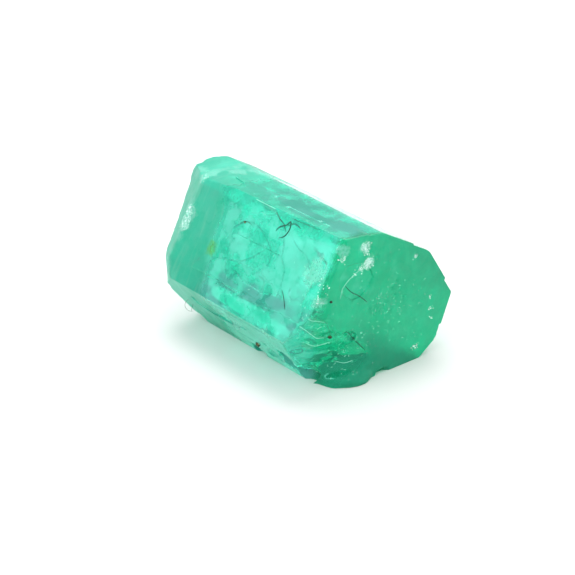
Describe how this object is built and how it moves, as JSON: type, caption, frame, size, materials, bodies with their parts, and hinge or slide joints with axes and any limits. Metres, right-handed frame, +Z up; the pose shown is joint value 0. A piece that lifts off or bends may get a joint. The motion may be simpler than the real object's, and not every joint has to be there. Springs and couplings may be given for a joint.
{
  "type": "raw emerald crystal",
  "caption": "Rough bluish green beryl crystal: a stubby six-sided prism lying on a prism face, flat growth end, broken far end and chipped lower corner",
  "frame": {"origin": "under the middle of the crystal, on the surface that it lies on", "axes": "+X runs along the crystal's c axis towards the flat growth end, +Z is up, +Y is across the crystal, towards its sharper side"},
  "size_m": [0.0092, 0.0068, 0.0055],
  "materials": {
    "emerald": "see-through bluish green beryl, vitreous, with inner veils, frosted chips and fine growth marks"
  },
  "bodies": {
    "root": {"emerald_crystal": "emerald"}
  },
  "joints": []
}
